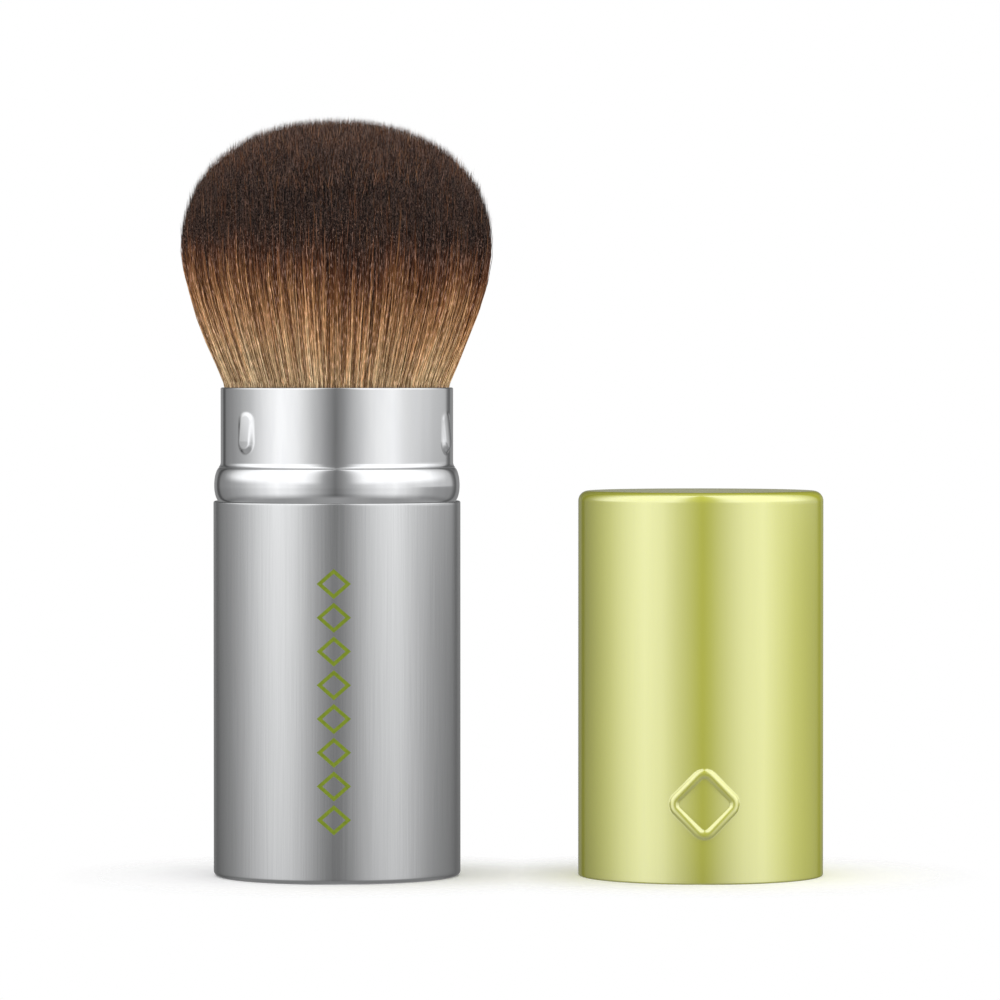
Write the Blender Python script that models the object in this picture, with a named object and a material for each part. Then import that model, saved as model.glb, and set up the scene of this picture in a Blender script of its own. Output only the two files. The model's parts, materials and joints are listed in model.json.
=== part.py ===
"""Retractable makeup brush with its cap standing beside it, as separate pieces.

A drawn aluminium barrel holds a moulded post. The post carries the ferrule and the
knot of bristles. A bright collar slides up the post, round the bristles, and the cap
is a plain drawn cup that slips over the collar's three catches.

Metres, +Z up. The origin is the centre of the barrel's flat base. The front faces -Y.
"""

import math

import bmesh
import bpy
import numpy as np
from mathutils import Matrix

# Gaps that several pieces share
SEAT_GAP = 0.0003
SLIDE_GAP = 0.0003
EDGE_BREAK = 0.00012
CUT_OVERRUN = 0.0006

# Barrel, the drawn cup that is held in the hand
BARREL_DIAMETER = 0.0340
BARREL_HEIGHT = 0.0516
BARREL_WALL = 0.0005
BARREL_CORNER = 0.0007

# Collar, the bright sleeve that slides
BARREL_TO_COLLAR_GAP = 0.0005
COLLAR_WALL = 0.0004
BEAD_PROUD = 0.0009
BEAD_LOWER_HEIGHT = 0.0018
BEAD_UPPER_HEIGHT = 0.0027
NECK_HEIGHT = 0.0108

# Catches pressed out of the collar's neck
CATCH_WIDTH = 0.0034
CATCH_HEIGHT = 0.0053
CATCH_PROUD = 0.00028
CATCH_DROP = 0.0061
CATCH_COUNT = 3
CATCH_FIRST_TURN = math.radians(-49.3)

# Slide ring, bonded in the collar's foot
RING_WALL = 0.0021
RING_HEIGHT = 0.0073
RING_CHAMFER = 0.0004
KEY_COUNT = 3
KEY_FIRST_TURN = math.radians(0.0)
KEY_WIDTH = 0.0022
KEY_PROUD = 0.00085
KEY_LENGTH = 0.0044
KEY_SIDE_GAP = 0.0002
KEY_TIP_GAP = 0.00025
NUB_PROUD = 0.0002
NUB_WIDTH = 0.0030
NUB_HEIGHT = 0.0012
NUB_DROP = 0.0018
SLIT_WIDTH = 0.0005
SLIT_DEPTH = 0.0041
SLIT_TO_NUB = 0.0006

# Drag ring, the rubber ring in the slide ring's bore
DRAG_SECTION_RADIUS = 0.00055
DRAG_RUNNING_GAP = 0.00015
DRAG_HEIGHT = 0.0017

# Base plug, weight and post
PLUG_THICKNESS = 0.0018
PLUG_CHAMFER = 0.0006
PLUG_SPIGOT_HEIGHT = 0.0100
PLUG_SPIGOT_WALL = 0.0010
WEIGHT_HEIGHT = 0.0090
WEIGHT_CHAMFER = 0.0005
POST_WALL = 0.0017
DETENT_DEPTH = 0.0004
DETENT_HEIGHT = 0.0018

# Post head, the stop that carries the ferrule
HEAD_FLANGE_THICKNESS = 0.0012
HEAD_FLANGE_INSET = 0.0003
HEAD_SPIGOT_LENGTH = 0.0055
HEAD_SPIGOT_WALL = 0.0015
HEAD_BOSS_RADIUS = 0.0034
HEAD_BOSS_LENGTH = 0.0105

# Ferrule screw
SCREW_RADIUS = 0.0011
SCREW_HEAD_RADIUS = 0.0028
SCREW_HEAD_HEIGHT = 0.0016
SCREW_LENGTH = 0.0100
SCREW_POINT = 0.0015
SCREW_PILOT_GAP = 0.00015
RECESS_WIDTH = 0.0007
RECESS_SPAN = 0.0030
RECESS_DEPTH = 0.0008

# Ferrule cup and knot
FERRULE_TO_COLLAR_GAP = 0.0006
FERRULE_WALL = 0.0005
FERRULE_FLOOR = 0.0006
FERRULE_HEIGHT = 0.0101
FERRULE_LIP = 0.0006
FERRULE_CORNER = 0.0007
ROOT_DEPTH = 0.0089
BACKING_THICKNESS = 0.0010

# Bristles
TUFT_DIAMETER = 0.0429
TUFT_HEIGHT = 0.0369
DOME_HEIGHT = 0.0166
TUFT_TO_COLLAR_GAP = 0.0004
STRAND_RINGS = 8
STRAND_GAP = 0.00030
STRAND_TIP_SHARE = 0.80
DOME_POWER = 2.2
FLANK_HEIGHT_SHARE = 0.68
FLANK_SWELL_SHARE = 0.84

# Cap, standing mouth down beside the brush
CAP_DIAMETER = 0.03375
CAP_HEIGHT = 0.0530
CAP_WALL = 0.0005
CAP_CORNER = 0.0014
CAP_TO_BRUSH = 0.0501

# Raised lozenge outline on the cap's front
LOZENGE_SPAN = 0.0095
LOZENGE_HEIGHT = 0.0109
LOZENGE_CORNER = 0.0013
RIDGE_WIDTH = 0.0012
RIDGE_PROUD = 0.00042

# Numbers of flats and steps
SHELL_FLATS = 40
INNER_FLATS = 28
SMALL_FLATS = 14
CORNER_STEPS = 4
BEAD_STEPS = 5
BEAD_INNER_STEPS = 3
RIDGE_STEPS = 36
RIDGE_FLATS = 6
DRAG_FLATS = 6
CATCH_FLATS = 12
CATCH_ROWS = 8
SMOOTH_ANGLE = math.radians(32.0)

# Radii, from the barrel's wall inwards
barrel_radius = BARREL_DIAMETER / 2
barrel_inner = barrel_radius - BARREL_WALL
collar_radius = barrel_inner - BARREL_TO_COLLAR_GAP
collar_inner = collar_radius - COLLAR_WALL
ring_outer = collar_inner - SEAT_GAP
ring_inner = ring_outer - RING_WALL
post_radius = ring_inner - SLIDE_GAP
post_inner = post_radius - POST_WALL
key_tip = ring_inner - KEY_PROUD
slot_floor = key_tip - KEY_TIP_GAP
plug_spigot_outer = post_inner - SEAT_GAP
plug_spigot_inner = plug_spigot_outer - PLUG_SPIGOT_WALL
weight_radius = plug_spigot_inner - SEAT_GAP
ferrule_radius = collar_inner - FERRULE_TO_COLLAR_GAP
ferrule_inner = ferrule_radius - FERRULE_WALL
knot_radius = ferrule_inner - SEAT_GAP
head_radius = ferrule_radius - HEAD_FLANGE_INSET
pilot_radius = SCREW_RADIUS + SCREW_PILOT_GAP
tuft_radius = TUFT_DIAMETER / 2
tuft_rim_radius = collar_inner - TUFT_TO_COLLAR_GAP
cap_radius = CAP_DIAMETER / 2

# Heights from the base to the foot of the collar
floor_top = BARREL_WALL
plug_low = floor_top + SEAT_GAP
plug_top = plug_low + PLUG_THICKNESS
weight_low = plug_top + SEAT_GAP
post_low = plug_top + SEAT_GAP
ring_low = plug_top + SEAT_GAP
ring_top = ring_low + RING_HEIGHT
nub_middle = ring_top - NUB_DROP
drag_middle = ring_low + DRAG_HEIGHT

# Heights from the barrel's rim up, and down again to the post head
bead_low = BARREL_HEIGHT + SEAT_GAP
bead_middle = bead_low + BEAD_LOWER_HEIGHT
bead_top = bead_middle + BEAD_UPPER_HEIGHT
collar_rim = bead_top + NECK_HEIGHT
root_height = collar_rim - ROOT_DEPTH
backing_low = root_height - BACKING_THICKNESS
ferrule_top = root_height + FERRULE_LIP
ferrule_low = ferrule_top - FERRULE_HEIGHT
ferrule_floor_top = ferrule_low + FERRULE_FLOOR
head_top = ferrule_low - SEAT_GAP
head_under = head_top - HEAD_FLANGE_THICKNESS
post_top = head_under - SEAT_GAP
collar_travel = post_top - ring_top
widest_height = collar_rim + TUFT_HEIGHT - DOME_HEIGHT


def linear(code):
    """Linear red, green and blue of an sRGB hex code such as C8CACC."""
    shares = [int(code[i : i + 2], 16) / 255 for i in (0, 2, 4)]
    return [s / 12.92 if s <= 0.04045 else ((s + 0.055) / 1.055) ** 2.4 for s in shares]


def finish(name, code, metallic, roughness):
    """A plain Principled material."""
    material = bpy.data.materials.new(name)
    material.use_nodes = True
    shader = material.node_tree.nodes["Principled BSDF"]
    shader.inputs["Base Color"].default_value = (*linear(code), 1)
    shader.inputs["Metallic"].default_value = metallic
    shader.inputs["Roughness"].default_value = roughness
    return material


def clear_scene():
    """Removes what the file opened with."""
    for thing in list(bpy.data.objects):
        bpy.data.objects.remove(thing, do_unlink=True)


def axis_empty(name, place):
    """An empty on the line that a body slides along, as parent of its pieces."""
    empty = bpy.data.objects.new(name, None)
    empty.location = place
    bpy.context.scene.collection.objects.link(empty)
    return empty


def add_piece(name, bm, material, parent):
    """Makes the bmesh an object of this name, smooth where its faces nearly line up."""
    bmesh.ops.recalc_face_normals(bm, faces=bm.faces)
    mesh = bpy.data.meshes.new(name)
    bm.to_mesh(mesh)
    bm.free()
    mesh.materials.append(material)
    mesh.shade_smooth()
    mesh.set_sharp_from_angle(angle=SMOOTH_ANGLE)
    piece = bpy.data.objects.new(name, mesh)
    piece.parent = parent
    bpy.context.scene.collection.objects.link(piece)
    return piece


def add_tool(piece, bm, operation):
    """Cuts the piece by the bmesh, or joins it on, with an exact Boolean."""
    bmesh.ops.recalc_face_normals(bm, faces=bm.faces)
    name = f"{piece.name}_{operation.lower()}_tool"
    mesh = bpy.data.meshes.new(name)
    bm.to_mesh(mesh)
    bm.free()
    tool = bpy.data.objects.new(name, mesh)
    tool.parent = piece.parent
    tool.display_type = "WIRE"
    tool.hide_render = True
    bpy.context.scene.collection.objects.link(tool)
    boolean = piece.modifiers.new(name, "BOOLEAN")
    boolean.object = tool
    boolean.operation = operation
    boolean.solver = "EXACT"


def turned(outline, flats):
    """Carries a closed outline of (radius, height) points round Z.

    A point on the axis becomes one pole, and a stretch along the axis has no faces.
    """
    bm = bmesh.new()
    rings = []
    for radius, height in outline:
        turns = [2 * math.pi * i / flats for i in range(flats)] if radius else [0]
        ring = [bm.verts.new((radius * math.cos(t), radius * math.sin(t), height)) for t in turns]
        rings.append(ring)
    for low, high in zip(rings, rings[1:] + rings[:1]):
        if len(low) == len(high) == 1:
            continue
        for i in range(flats):
            j = i + 1
            corners = (low[i % len(low)], low[j % len(low)], high[j % len(high)], high[i % len(high)])
            bm.faces.new(dict.fromkeys(corners))
    return bm


def arc(radius, height, wide, tall, start, end, steps):
    """Outline points on an ellipse about (radius, height), between two turns in degrees."""
    turns = np.radians(np.linspace(start, end, steps + 1))
    return [(radius + wide * math.cos(t), height + tall * math.sin(t)) for t in turns]


def add_bar(bm, inner, outer, width, low, high, turn):
    """Adds a box that runs from one radius to another, at this turn about Z."""
    place = Matrix.Translation(((inner + outer) / 2, 0, (low + high) / 2))
    size = Matrix.Diagonal((outer - inner, width, high - low, 1))
    bmesh.ops.create_cube(bm, size=1, matrix=Matrix.Rotation(turn, 4, "Z") @ place @ size)


def evenly(count, first):
    """The turns of so many places, evenly round from the first."""
    return [first + 2 * math.pi * i / count for i in range(count)]


def front_turn(turn):
    """A turn counted from the front, -Y, towards +X, as one counted from +X."""
    return turn - math.pi / 2


def make_barrel(material, parent):
    """Drawn cup: flat base, round corner, thin wall, rim with broken edges."""
    inner_corner = max(BARREL_CORNER - BARREL_WALL, EDGE_BREAK)
    outline = [
        (0, 0),
        *arc(barrel_radius - BARREL_CORNER, BARREL_CORNER, BARREL_CORNER, BARREL_CORNER, -90, 0, CORNER_STEPS),
        (barrel_radius, BARREL_HEIGHT - EDGE_BREAK),
        (barrel_radius - EDGE_BREAK, BARREL_HEIGHT),
        (barrel_inner + EDGE_BREAK, BARREL_HEIGHT),
        (barrel_inner, BARREL_HEIGHT - EDGE_BREAK),
        (barrel_inner, floor_top + inner_corner),
        (barrel_inner - inner_corner, floor_top),
        (0, floor_top),
    ]
    add_piece("barrel_shell", turned(outline, SHELL_FLATS), material, parent)


def make_base_plug(material, parent):
    """Disc bonded on the barrel's floor, with the spigot that centres the post."""
    flange = barrel_inner - SEAT_GAP
    spigot_top = plug_top + PLUG_SPIGOT_HEIGHT
    outline = [
        (0, plug_low),
        (flange - PLUG_CHAMFER, plug_low),
        (flange, plug_low + PLUG_CHAMFER),
        (flange, plug_top),
        (plug_spigot_outer, plug_top),
        (plug_spigot_outer, spigot_top - EDGE_BREAK),
        (plug_spigot_outer - EDGE_BREAK, spigot_top),
        (plug_spigot_inner, spigot_top),
        (plug_spigot_inner, plug_top),
        (0, plug_top),
    ]
    add_piece("base_plug", turned(outline, INNER_FLATS), material, parent)


def make_base_weight(material, parent):
    """Steel slug in the plug's spigot, which steadies the standing brush."""
    top = weight_low + WEIGHT_HEIGHT
    outline = [
        (0, weight_low),
        (weight_radius, weight_low),
        (weight_radius, top - WEIGHT_CHAMFER),
        (weight_radius - WEIGHT_CHAMFER, top),
        (0, top),
    ]
    add_piece("base_weight", turned(outline, INNER_FLATS), material, parent)


def make_core_post(material, parent):
    """Tube over the plug's spigot, with two detent grooves and three key slots."""
    grooves = []
    for middle in (nub_middle, nub_middle + collar_travel):
        grooves += [
            (post_radius, middle - DETENT_HEIGHT / 2),
            (post_radius - DETENT_DEPTH, middle),
            (post_radius, middle + DETENT_HEIGHT / 2),
        ]
    outline = [
        (post_inner, post_low),
        (post_radius, post_low),
        *grooves,
        (post_radius, post_top),
        (post_inner, post_top),
    ]
    post = add_piece("core_post", turned(outline, INNER_FLATS), material, parent)
    slots = bmesh.new()
    for turn in evenly(KEY_COUNT, KEY_FIRST_TURN):
        width = KEY_WIDTH + 2 * KEY_SIDE_GAP
        outer = post_radius + CUT_OVERRUN
        add_bar(slots, slot_floor, outer, width, post_low - CUT_OVERRUN, post_top + CUT_OVERRUN, turn)
    add_tool(post, slots, "DIFFERENCE")


def make_post_head(material, parent):
    """Flange that stops the collar, on a spigot in the post, with the screw's boss."""
    spigot = post_inner - SEAT_GAP
    outline = [
        (pilot_radius, head_top),
        (head_radius - EDGE_BREAK, head_top),
        (head_radius, head_top - EDGE_BREAK),
        (head_radius, head_under),
        (spigot, head_under),
        (spigot, head_under - HEAD_SPIGOT_LENGTH),
        (spigot - HEAD_SPIGOT_WALL, head_under - HEAD_SPIGOT_LENGTH),
        (spigot - HEAD_SPIGOT_WALL, head_under),
        (HEAD_BOSS_RADIUS, head_under),
        (HEAD_BOSS_RADIUS, head_top - HEAD_BOSS_LENGTH),
        (pilot_radius, head_top - HEAD_BOSS_LENGTH),
    ]
    add_piece("post_head", turned(outline, INNER_FLATS), material, parent)


def make_ferrule_cup(material, parent):
    """Drawn cup that holds the knot, with a screw hole in its floor."""
    corner = FERRULE_CORNER
    inner_corner = max(FERRULE_CORNER - FERRULE_WALL, EDGE_BREAK)
    hole = SCREW_RADIUS + SEAT_GAP
    outline = [
        (hole, ferrule_low),
        *arc(ferrule_radius - corner, ferrule_low + corner, corner, corner, -90, 0, CORNER_STEPS // 2),
        (ferrule_radius, ferrule_top - EDGE_BREAK),
        (ferrule_radius - EDGE_BREAK, ferrule_top),
        (ferrule_inner + EDGE_BREAK, ferrule_top),
        (ferrule_inner, ferrule_top - EDGE_BREAK),
        (ferrule_inner, ferrule_floor_top + inner_corner),
        (ferrule_inner - inner_corner, ferrule_floor_top),
        (hole, ferrule_floor_top),
    ]
    add_piece("ferrule_cup", turned(outline, INNER_FLATS), material, parent)


def make_ferrule_screw(material, parent):
    """Pan-head screw through the cup's floor into the post head."""
    seat = ferrule_floor_top + SEAT_GAP
    top = seat + SCREW_HEAD_HEIGHT
    tip = seat - SCREW_LENGTH
    outline = [
        (0, tip),
        (SCREW_RADIUS, tip + SCREW_POINT),
        (SCREW_RADIUS, seat),
        (SCREW_HEAD_RADIUS, seat),
        *arc(0, seat, SCREW_HEAD_RADIUS, SCREW_HEAD_HEIGHT, 30, 90, 2)[:-1],
        (0, top),
    ]
    screw = add_piece("ferrule_screw", turned(outline, SMALL_FLATS), material, parent)
    for turn in (0, math.pi / 2):
        recess = bmesh.new()
        add_bar(recess, -RECESS_SPAN / 2, RECESS_SPAN / 2, RECESS_WIDTH, top - RECESS_DEPTH, top + CUT_OVERRUN, turn)
        add_tool(screw, recess, "DIFFERENCE")


def make_knot_resin(material, parent):
    """Cast resin under the bristles' backing, with room for the screw's head."""
    low = ferrule_floor_top + SEAT_GAP
    top = backing_low - SEAT_GAP
    pocket = SCREW_HEAD_RADIUS + SEAT_GAP
    pocket_top = low + SCREW_HEAD_HEIGHT + SEAT_GAP
    rim = knot_radius - FERRULE_CORNER
    outline = [
        (pocket, low),
        (rim, low),
        (knot_radius, low + FERRULE_CORNER),
        (knot_radius, top),
        (0, top),
        (0, pocket_top),
        (pocket, pocket_top),
    ]
    add_piece("knot_resin", turned(outline, INNER_FLATS), material, parent)


def lattice_disc(bm, radius, height):
    """Fills a disc with triangles, ring by ring: ring k has 6 k points.

    Returns the triangles that carry a strand, and the points of the disc's edge. In the
    last ring those with one corner on the edge carry none, which keeps the edge whole.
    """
    rings = [[bm.verts.new((0, 0, height))]]
    for k in range(1, STRAND_RINGS + 1):
        reach = radius * k / STRAND_RINGS
        turns = evenly(6 * k, 0)
        rings.append([bm.verts.new((reach * math.cos(t), reach * math.sin(t), height)) for t in turns])
    carriers = []
    for k in range(1, STRAND_RINGS + 1):
        inner, outer = rings[k - 1], rings[k]
        for sector in range(6):
            for i in range(k):
                start = sector * k + i
                base = inner[(sector * (k - 1) + i) % len(inner)]
                carriers.append(bm.faces.new((base, outer[start], outer[(start + 1) % len(outer)])))
            for i in range(k - 1):
                start = sector * (k - 1) + i
                tip = outer[sector * k + i + 1]
                face = bm.faces.new((inner[start], tip, inner[(start + 1) % len(inner)]))
                if k < STRAND_RINGS:
                    carriers.append(face)
    return carriers, rings[-1]


def dome_height_at(radius):
    """Height of the tuft's domed top at a distance from the axis."""
    share = min(radius / tuft_radius, 1)
    return widest_height + DOME_HEIGHT * (1 - share**DOME_POWER) ** (1 / DOME_POWER)


def grow(bm, faces, spread, taper, height_at):
    """Extrudes each face up one stretch: its middle moves out by spread, its size by spread times taper."""
    tops = bmesh.ops.extrude_discrete_faces(bm, faces=faces)["faces"]
    for face in tops:
        middle = face.calc_center_median().xy
        for vert in face.verts:
            flat = middle * spread + (vert.co.xy - middle) * spread * taper
            vert.co.x, vert.co.y = flat
            vert.co.z = height_at(flat.length)
    return tops


def make_bristles(material, parent):
    """Three-sided strands on a slice of the resin, fanned out by scaling about the axis, so none cross."""
    bm = bmesh.new()
    carriers, edge = lattice_disc(bm, knot_radius, root_height)
    count = len(edge)
    foot = [bm.verts.new((v.co.x, v.co.y, backing_low)) for v in edge]
    for i in range(count):
        j = (i + 1) % count
        bm.faces.new((edge[i], edge[j], foot[j], foot[i]))
    bm.faces.new(foot[::-1])
    bmesh.ops.recalc_face_normals(bm, faces=bm.faces)
    bmesh.ops.inset_individual(bm, faces=carriers, thickness=STRAND_GAP / 2, use_even_offset=True)
    flank_radius = tuft_rim_radius + FLANK_SWELL_SHARE * (tuft_radius - tuft_rim_radius)
    flank_height = collar_rim + FLANK_HEIGHT_SHARE * (widest_height - collar_rim)
    tops = grow(bm, carriers, tuft_rim_radius / knot_radius, 1, lambda radius: collar_rim)
    tops = grow(bm, tops, flank_radius / tuft_rim_radius, 1, lambda radius: flank_height)
    grow(bm, tops, tuft_radius / flank_radius, STRAND_TIP_SHARE, dome_height_at)
    add_piece("bristles", bm, material, parent)


def make_collar_sleeve(material, parent):
    """Thin tube from the foot to the rim, with a hollow bead and three pressed catches."""
    low = ring_low
    edge = EDGE_BREAK
    bead = [
        *arc(collar_radius, bead_middle, BEAD_PROUD, BEAD_LOWER_HEIGHT, -90, 0, BEAD_STEPS)[:-1],
        *arc(collar_radius, bead_middle, BEAD_PROUD, BEAD_UPPER_HEIGHT, 0, 90, BEAD_STEPS),
    ]
    hollow = [
        *arc(collar_inner, bead_middle, BEAD_PROUD, BEAD_UPPER_HEIGHT, 90, 0, BEAD_INNER_STEPS)[:-1],
        *arc(collar_inner, bead_middle, BEAD_PROUD, BEAD_LOWER_HEIGHT, 0, -90, BEAD_INNER_STEPS),
    ]
    outline = [
        (collar_inner, low),
        (collar_radius - edge, low),
        (collar_radius, low + edge),
        *bead,
        (collar_radius, collar_rim - edge),
        (collar_radius - edge, collar_rim),
        (collar_inner + edge, collar_rim),
        (collar_inner, collar_rim - edge),
        *hollow,
    ]
    sleeve = add_piece("collar_sleeve", turned(outline, SHELL_FLATS), material, parent)
    catches = bmesh.new()
    for turn in evenly(CATCH_COUNT, front_turn(CATCH_FIRST_TURN)):
        place = Matrix.Translation((collar_radius, 0, collar_rim - CATCH_DROP))
        size = Matrix.Diagonal((CATCH_PROUD, CATCH_WIDTH / 2, CATCH_HEIGHT / 2, 1))
        matrix = Matrix.Rotation(turn, 4, "Z") @ place @ size
        bmesh.ops.create_uvsphere(catches, u_segments=CATCH_FLATS, v_segments=CATCH_ROWS, radius=1, matrix=matrix)
    add_tool(sleeve, catches, "UNION")


def make_slide_ring(material, parent):
    """Ring bonded in the collar's foot: a groove for the drag ring, keys, and sprung fingers with nubs."""
    groove_reach = post_radius + DRAG_RUNNING_GAP + 2 * DRAG_SECTION_RADIUS + SEAT_GAP
    groove_half = DRAG_SECTION_RADIUS + SEAT_GAP
    chamfer = RING_CHAMFER
    outline = [
        (ring_inner, ring_low),
        (ring_outer - chamfer, ring_low),
        (ring_outer, ring_low + chamfer),
        (ring_outer, ring_top - chamfer),
        (ring_outer - chamfer, ring_top),
        (ring_inner + chamfer, ring_top),
        (ring_inner, ring_top - chamfer),
        (ring_inner, drag_middle + groove_half),
        (groove_reach, drag_middle + groove_half),
        (groove_reach, drag_middle - groove_half),
        (ring_inner, drag_middle - groove_half),
    ]
    ring = add_piece("slide_ring", turned(outline, INNER_FLATS), material, parent)
    embed = RING_WALL / 3
    key_top = ring_top - chamfer
    lugs = bmesh.new()
    for turn in evenly(KEY_COUNT, KEY_FIRST_TURN):
        add_bar(lugs, key_tip, ring_inner + embed, KEY_WIDTH, key_top - KEY_LENGTH, key_top, turn)
    for turn in evenly(KEY_COUNT, KEY_FIRST_TURN + math.pi / KEY_COUNT):
        half = NUB_HEIGHT / 2
        add_bar(lugs, ring_inner - NUB_PROUD, ring_inner + embed, NUB_WIDTH, nub_middle - half, nub_middle + half, turn)
    add_tool(ring, lugs, "UNION")
    slits = bmesh.new()
    for turn in evenly(KEY_COUNT, KEY_FIRST_TURN + math.pi / KEY_COUNT):
        for side in (-1, 1):
            swing = side * (NUB_WIDTH / 2 + SLIT_TO_NUB + SLIT_WIDTH / 2) / ring_inner
            inner = ring_inner - CUT_OVERRUN
            outer = ring_outer + CUT_OVERRUN
            add_bar(slits, inner, outer, SLIT_WIDTH, ring_top - SLIT_DEPTH, ring_top + CUT_OVERRUN, turn + swing)
    add_tool(ring, slits, "DIFFERENCE")


def make_drag_ring(material, parent):
    """Rubber ring of round section that drags on the post."""
    middle = post_radius + DRAG_RUNNING_GAP + DRAG_SECTION_RADIUS
    radius = DRAG_SECTION_RADIUS
    outline = arc(middle, drag_middle, radius, radius, 0, 360, DRAG_FLATS)[:-1]
    add_piece("drag_ring", turned(outline, INNER_FLATS), material, parent)


def lozenge_path():
    """Points of a lozenge with round corners, evenly spaced, as (across, up) from its middle.

    Each corner is a quarter circle about a point on an axis, and straight sides join them.
    """
    reach = (LOZENGE_SPAN - RIDGE_WIDTH) / 2 - LOZENGE_CORNER
    turns = np.radians(np.arange(-45, 360 - 45 + 1, 90 / CORNER_STEPS))
    points = []
    for corner in range(4):
        middle = reach * np.array([math.cos(math.pi / 2 * corner), math.sin(math.pi / 2 * corner)])
        for turn in turns[corner * CORNER_STEPS : (corner + 1) * CORNER_STEPS + 1]:
            points.append(middle + LOZENGE_CORNER * np.array([math.cos(turn), math.sin(turn)]))
    points = np.array(points + points[:1])
    run = np.concatenate(([0], np.cumsum(np.linalg.norm(np.diff(points, axis=0), axis=1))))
    places = np.linspace(0, run[-1], RIDGE_STEPS, endpoint=False)
    return np.column_stack([np.interp(places, run, points[:, i]) for i in (0, 1)])


def make_ridge():
    """Half-round ridge along the lozenge, wrapped on the cap's front."""
    path = lozenge_path()
    ahead = np.roll(path, -1, axis=0) - np.roll(path, 1, axis=0)
    ahead /= np.linalg.norm(ahead, axis=1)[:, None]
    aside = np.column_stack([ahead[:, 1], -ahead[:, 0]])
    bm = bmesh.new()
    rings = []
    for point, side in zip(path, aside):
        ring = []
        for turn in evenly(RIDGE_FLATS, 0):
            across, up = point + side * RIDGE_WIDTH / 2 * math.cos(turn)
            reach = cap_radius + RIDGE_PROUD * math.sin(turn)
            swing = across / cap_radius
            ring.append(bm.verts.new((reach * math.sin(swing), -reach * math.cos(swing), LOZENGE_HEIGHT + up)))
        rings.append(ring)
    for low, high in zip(rings, rings[1:] + rings[:1]):
        for i in range(RIDGE_FLATS):
            j = (i + 1) % RIDGE_FLATS
            bm.faces.new((low[i], low[j], high[j], high[i]))
    return bm


def make_cap(material, parent):
    """Drawn cup, mouth down, with a round top corner and the raised lozenge."""
    inner = cap_radius - CAP_WALL
    corner = CAP_CORNER
    inner_corner = max(CAP_CORNER - CAP_WALL, EDGE_BREAK)
    outline = [
        (inner, 0),
        (cap_radius, 0),
        *arc(cap_radius - corner, CAP_HEIGHT - corner, corner, corner, 0, 90, CORNER_STEPS),
        (0, CAP_HEIGHT),
        (0, CAP_HEIGHT - CAP_WALL),
        *arc(inner - inner_corner, CAP_HEIGHT - CAP_WALL - inner_corner, inner_corner, inner_corner, 90, 0, 2),
    ]
    cap = add_piece("cap_shell", turned(outline, SHELL_FLATS), material, parent)
    add_tool(cap, make_ridge(), "UNION")


def build():
    """Makes every piece, body by body."""
    clear_scene()
    brushed = finish("brushed_aluminium", "B9BBBD", 1.0, 0.32)
    bright = finish("bright_aluminium", "E4E5E7", 1.0, 0.08)
    lime = finish("lime_anodised_aluminium", "C3C546", 1.0, 0.25)
    steel = finish("zinc_plated_steel", "9EA2A6", 1.0, 0.35)
    moulding = finish("moulded_polypropylene", "E9E8E3", 0.0, 0.45)
    acetal = finish("moulded_acetal", "F3F2EC", 0.0, 0.30)
    rubber = finish("silicone_rubber", "2B2B2C", 0.0, 0.60)
    resin = finish("cast_epoxy", "C9A86A", 0.0, 0.20)
    fibre = finish("synthetic_fibre", "6B4A35", 0.0, 0.50)

    handle = axis_empty("handle_axis", (0, 0, 0))
    make_barrel(brushed, handle)
    make_base_plug(moulding, handle)
    make_base_weight(steel, handle)
    make_core_post(moulding, handle)
    make_post_head(moulding, handle)
    make_ferrule_cup(bright, handle)
    make_ferrule_screw(steel, handle)
    make_knot_resin(resin, handle)
    make_bristles(fibre, handle)

    collar = axis_empty("collar_axis", (0, 0, 0))
    make_collar_sleeve(bright, collar)
    make_slide_ring(acetal, collar)
    make_drag_ring(rubber, collar)

    cap = axis_empty("cap_axis", (CAP_TO_BRUSH, 0, 0))
    make_cap(lime, cap)


build()
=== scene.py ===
"""Retractable makeup brush with its cap standing beside it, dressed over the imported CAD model.

Every shape is worked out with numpy as a grid of two parameters or as a profile carried along a path.
Lengths are in metres, in the frame of the CAD. A turn is an angle round an upright axis, measured from
the front, which is -Y, towards +X.
"""

import json
import math

import bpy
import numpy as np
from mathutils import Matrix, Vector

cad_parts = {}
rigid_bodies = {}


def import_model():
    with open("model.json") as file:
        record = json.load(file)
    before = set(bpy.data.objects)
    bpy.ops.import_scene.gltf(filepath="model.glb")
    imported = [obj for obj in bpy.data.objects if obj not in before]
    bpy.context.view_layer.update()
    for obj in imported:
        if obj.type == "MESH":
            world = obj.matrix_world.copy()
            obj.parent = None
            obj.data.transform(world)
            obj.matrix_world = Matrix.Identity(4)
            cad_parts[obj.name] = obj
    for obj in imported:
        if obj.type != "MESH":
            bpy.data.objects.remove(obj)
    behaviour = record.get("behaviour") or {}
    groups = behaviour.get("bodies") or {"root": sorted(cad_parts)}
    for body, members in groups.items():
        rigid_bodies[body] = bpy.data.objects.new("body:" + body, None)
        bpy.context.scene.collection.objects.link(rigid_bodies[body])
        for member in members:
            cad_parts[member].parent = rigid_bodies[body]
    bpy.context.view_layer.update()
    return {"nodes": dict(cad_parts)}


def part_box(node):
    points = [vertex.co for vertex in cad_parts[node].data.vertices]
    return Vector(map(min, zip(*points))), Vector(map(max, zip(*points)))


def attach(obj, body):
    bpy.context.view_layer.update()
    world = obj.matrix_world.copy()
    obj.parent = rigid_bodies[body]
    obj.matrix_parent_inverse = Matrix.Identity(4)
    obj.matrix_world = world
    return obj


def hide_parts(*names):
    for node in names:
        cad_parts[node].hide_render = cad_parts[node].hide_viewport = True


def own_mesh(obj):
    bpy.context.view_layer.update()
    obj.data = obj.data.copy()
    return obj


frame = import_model()

MM = 0.001
FULL_TURN = 2 * math.pi

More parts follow.
